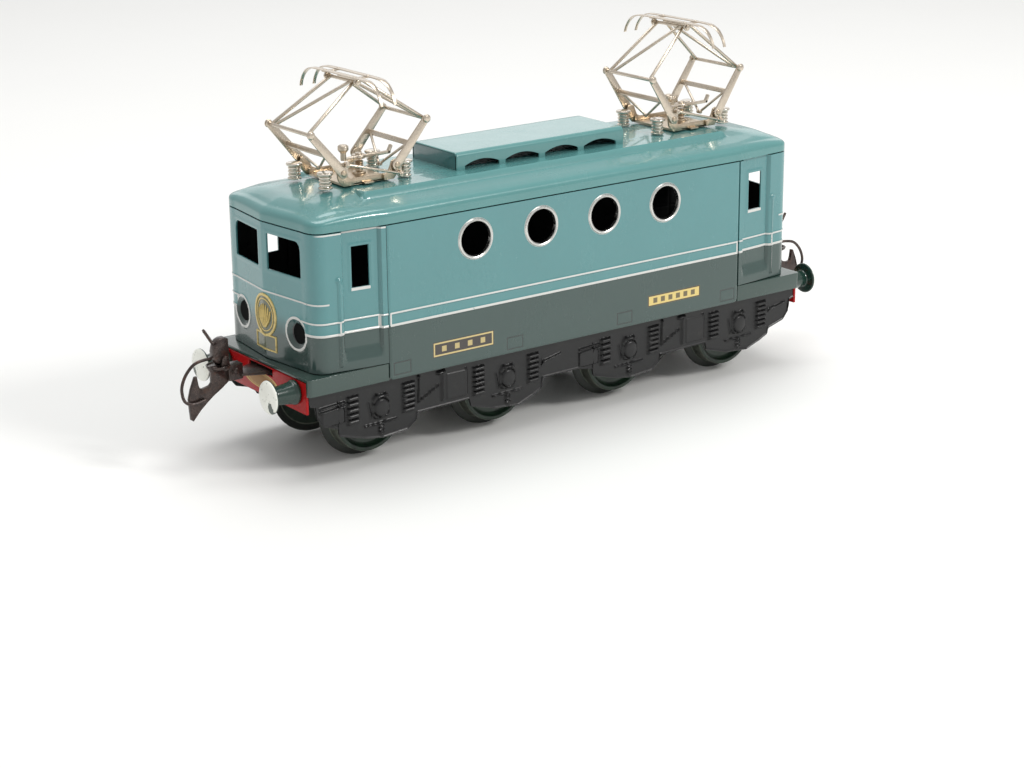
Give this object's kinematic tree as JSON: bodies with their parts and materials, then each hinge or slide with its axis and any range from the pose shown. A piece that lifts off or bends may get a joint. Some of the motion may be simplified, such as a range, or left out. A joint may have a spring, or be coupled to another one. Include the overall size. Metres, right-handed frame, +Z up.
{
  "type": "model electric locomotive",
  "caption": "Tinplate model electric locomotive on two bogies, with two raised diamond pantographs, buffers and lifting-loop couplers.",
  "frame": {"origin": "on the floor under the middle of the locomotive", "axes": "+X along the length towards the rear end, the front end at -X; +Z up; the left side is -Y"},
  "size_m": [0.2544, 0.0582, 0.121],
  "materials": {
    "turquoise_enamel": "gloss",
    "dark_green_enamel": "gloss",
    "black_enamel": "satin",
    "red_enamel": "gloss",
    "nickel_plate": "satin",
    "browned_steel": "satin",
    "plain_steel": "satin",
    "wheel_green_enamel": "satin"
  },
  "bodies": {
    "body": {"frame_pan": "dark_green_enamel", "side_frame_left": "black_enamel", "side_frame_right": "black_enamel", "cab_front": "turquoise_enamel", "cab_rear": "turquoise_enamel", "side_cover_left": "turquoise_enamel", "side_cover_right": "turquoise_enamel", "roof": "turquoise_enamel", "roof_vent": "turquoise_enamel", "buffer_beam_front": "red_enamel", "buffer_front_left": "dark_green_enamel", "buffer_front_right": "dark_green_enamel", "panto_front_base": "nickel_plate", "insulator_front_1": "nickel_plate", "insulator_front_2": "nickel_plate", "insulator_front_3": "nickel_plate", "insulator_front_4": "nickel_plate", "buffer_beam_rear": "red_enamel", "buffer_rear_left": "dark_green_enamel", "buffer_rear_right": "dark_green_enamel", "panto_rear_base": "nickel_plate", "insulator_rear_1": "nickel_plate", "insulator_rear_2": "nickel_plate", "insulator_rear_3": "nickel_plate", "insulator_rear_4": "nickel_plate"},
    "coupler_front": {"coupler_front_drawbar": "browned_steel"},
    "loop_front": {"coupler_front_loop": "browned_steel"},
    "bogie_front": {"bogie_front_frame": "black_enamel", "motor_block": "plain_steel"},
    "coupler_rear": {"coupler_rear_drawbar": "browned_steel"},
    "loop_rear": {"coupler_rear_loop": "browned_steel"},
    "bogie_rear": {"bogie_rear_frame": "black_enamel"},
    "wheelset_1": {"axle_1": "plain_steel", "wheel_1_left": "wheel_green_enamel", "wheel_1_right": "wheel_green_enamel"},
    "wheelset_2": {"axle_2": "plain_steel", "wheel_2_left": "wheel_green_enamel", "wheel_2_right": "wheel_green_enamel"},
    "wheelset_3": {"axle_3": "plain_steel", "wheel_3_left": "wheel_green_enamel", "wheel_3_right": "wheel_green_enamel"},
    "wheelset_4": {"axle_4": "plain_steel", "wheel_4_left": "wheel_green_enamel", "wheel_4_right": "wheel_green_enamel"},
    "shoe": {"pickup_shoe": "plain_steel"},
    "panto_front_arm_a": {"panto_front_arm_a": "nickel_plate"},
    "panto_front_arm_b": {"panto_front_arm_b": "nickel_plate"},
    "panto_front_frame_a": {"panto_front_frame_a": "nickel_plate"},
    "panto_front_frame_b": {"panto_front_frame_b": "nickel_plate"},
    "panto_front_head": {"panto_front_head": "nickel_plate"},
    "panto_front_link": {"panto_front_link": "nickel_plate"},
    "panto_front_catch": {"panto_front_catch": "nickel_plate"},
    "panto_rear_arm_a": {"panto_rear_arm_a": "nickel_plate"},
    "panto_rear_arm_b": {"panto_rear_arm_b": "nickel_plate"},
    "panto_rear_frame_a": {"panto_rear_frame_a": "nickel_plate"},
    "panto_rear_frame_b": {"panto_rear_frame_b": "nickel_plate"},
    "panto_rear_head": {"panto_rear_head": "nickel_plate"},
    "panto_rear_link": {"panto_rear_link": "nickel_plate"},
    "panto_rear_catch": {"panto_rear_catch": "nickel_plate"}
  },
  "joints": [
    {"name": "coupler_front_swing", "type": "hinge", "parent": "body", "child": "coupler_front", "pos_m": [-0.0925, 0, 0.0295], "axis": [0, 0, 1], "range_deg": [-12, 12]},
    {"name": "loop_front_lift", "type": "hinge", "parent": "coupler_front", "child": "loop_front", "pos_m": [-0.1132, 0, 0.036], "axis": [0, 1, 0], "range_deg": [0, 30]},
    {"name": "bogie_front_swivel", "type": "hinge", "parent": "body", "child": "bogie_front", "pos_m": [-0.04925, 0, 0.029], "axis": [0, 0, 1], "range_deg": [-7, 7]},
    {"name": "coupler_rear_swing", "type": "hinge", "parent": "body", "child": "coupler_rear", "pos_m": [0.0925, 0, 0.0295], "axis": [0, 0, 1], "range_deg": [-12, 12]},
    {"name": "loop_rear_lift", "type": "hinge", "parent": "coupler_rear", "child": "loop_rear", "pos_m": [0.1132, 0, 0.036], "axis": [0, -1, 0], "range_deg": [0, 30]},
    {"name": "bogie_rear_swivel", "type": "hinge", "parent": "body", "child": "bogie_rear", "pos_m": [0.04925, 0, 0.029], "axis": [0, 0, 1], "range_deg": [-7, 7]},
    {"name": "wheelset_1_spin", "type": "hinge", "parent": "bogie_front", "child": "wheelset_1", "pos_m": [-0.0734, 0, 0.0149], "axis": [0, 1, 0], "continuous": true},
    {"name": "wheelset_2_spin", "type": "hinge", "parent": "bogie_front", "child": "wheelset_2", "pos_m": [-0.0251, 0, 0.0149], "axis": [0, 1, 0], "continuous": true},
    {"name": "wheelset_3_spin", "type": "hinge", "parent": "bogie_rear", "child": "wheelset_3", "pos_m": [0.0251, 0, 0.0149], "axis": [0, 1, 0], "continuous": true},
    {"name": "wheelset_4_spin", "type": "hinge", "parent": "bogie_rear", "child": "wheelset_4", "pos_m": [0.0734, 0, 0.0149], "axis": [0, 1, 0], "continuous": true},
    {"name": "pickup_shoe_lift", "type": "hinge", "parent": "bogie_rear", "child": "shoe", "pos_m": [0.03925, 0, 0.0102], "axis": [0, -1, 0], "range_deg": [0, 8], "stiffness_Nm_per_rad": 0.01, "springref_deg": -17.19},
    {"name": "panto_front_fold", "type": "hinge", "parent": "body", "child": "panto_front_arm_a", "pos_m": [-0.0751, 0, 0.0894], "axis": [0, -1, 0], "range_deg": [0, 20.5], "stiffness_Nm_per_rad": 0.03, "springref_deg": -22.92},
    {"name": "panto_front_arm_b_turn", "type": "hinge", "parent": "body", "child": "panto_front_arm_b", "pos_m": [-0.0557, 0, 0.0894], "axis": [0, 1, 0], "range_deg": [0, 20.5]},
    {"name": "panto_front_frame_a_knee", "type": "hinge", "parent": "panto_front_arm_a", "child": "panto_front_frame_a", "pos_m": [-0.08629, 0, 0.10246], "axis": [0, 1, 0], "range_deg": [0, 46.8]},
    {"name": "panto_front_frame_b_knee", "type": "hinge", "parent": "panto_front_arm_b", "child": "panto_front_frame_b", "pos_m": [-0.04451, 0, 0.10246], "axis": [0, -1, 0], "range_deg": [0, 46.8]},
    {"name": "panto_front_head_level", "type": "hinge", "parent": "panto_front_frame_a", "child": "panto_front_head", "pos_m": [-0.067, 0, 0.1157], "axis": [0, -1, 0], "range_deg": [0, 26.3]},
    {"name": "panto_front_link_turn", "type": "hinge", "parent": "panto_front_arm_a", "child": "panto_front_link", "pos_m": [-0.0742, -0.0131, 0.0921], "axis": [0, 1, 0], "range_deg": [0, 20.5]},
    {"name": "panto_front_catch_turn", "type": "hinge", "parent": "body", "child": "panto_front_catch", "pos_m": [-0.0619, 0, 0.091], "axis": [0, 0, 1], "range_deg": [-20, 0]},
    {"name": "panto_rear_fold", "type": "hinge", "parent": "body", "child": "panto_rear_arm_a", "pos_m": [0.0557, 0, 0.0894], "axis": [0, -1, 0], "range_deg": [0, 27.2], "stiffness_Nm_per_rad": 0.03, "springref_deg": -22.92},
    {"name": "panto_rear_arm_b_turn", "type": "hinge", "parent": "body", "child": "panto_rear_arm_b", "pos_m": [0.0751, 0, 0.0894], "axis": [0, 1, 0], "range_deg": [0, 27.2]},
    {"name": "panto_rear_frame_a_knee", "type": "hinge", "parent": "panto_rear_arm_a", "child": "panto_rear_frame_a", "pos_m": [0.04611, 0, 0.10368], "axis": [0, 1, 0], "range_deg": [0, 59.9]},
    {"name": "panto_rear_frame_b_knee", "type": "hinge", "parent": "panto_rear_arm_b", "child": "panto_rear_frame_b", "pos_m": [0.08469, 0, 0.10368], "axis": [0, -1, 0], "range_deg": [0, 59.9]},
    {"name": "panto_rear_head_level", "type": "hinge", "parent": "panto_rear_frame_a", "child": "panto_rear_head", "pos_m": [0.0638, 0, 0.11899], "axis": [0, -1, 0], "range_deg": [0, 32.7]},
    {"name": "panto_rear_link_turn", "type": "hinge", "parent": "panto_rear_arm_a", "child": "panto_rear_link", "pos_m": [0.0566, -0.0131, 0.0921], "axis": [0, 1, 0], "range_deg": [0, 27.2]},
    {"name": "panto_rear_catch_turn", "type": "hinge", "parent": "body", "child": "panto_rear_catch", "pos_m": [0.0689, 0, 0.091], "axis": [0, 0, 1], "range_deg": [-20, 0]}
  ],
  "couplings": [
    {"joint": "panto_front_arm_b_turn", "follows": "panto_front_fold", "ratio": 1},
    {"joint": "panto_front_frame_a_knee", "follows": "panto_front_fold", "ratio": 2.279},
    {"joint": "panto_front_frame_b_knee", "follows": "panto_front_fold", "ratio": 2.279},
    {"joint": "panto_front_head_level", "follows": "panto_front_fold", "ratio": 1.279},
    {"joint": "panto_front_link_turn", "follows": "panto_front_fold", "ratio": 1},
    {"joint": "panto_rear_arm_b_turn", "follows": "panto_rear_fold", "ratio": 1},
    {"joint": "panto_rear_frame_a_knee", "follows": "panto_rear_fold", "ratio": 2.2},
    {"joint": "panto_rear_frame_b_knee", "follows": "panto_rear_fold", "ratio": 2.2},
    {"joint": "panto_rear_head_level", "follows": "panto_rear_fold", "ratio": 1.2},
    {"joint": "panto_rear_link_turn", "follows": "panto_rear_fold", "ratio": 1}
  ]
}
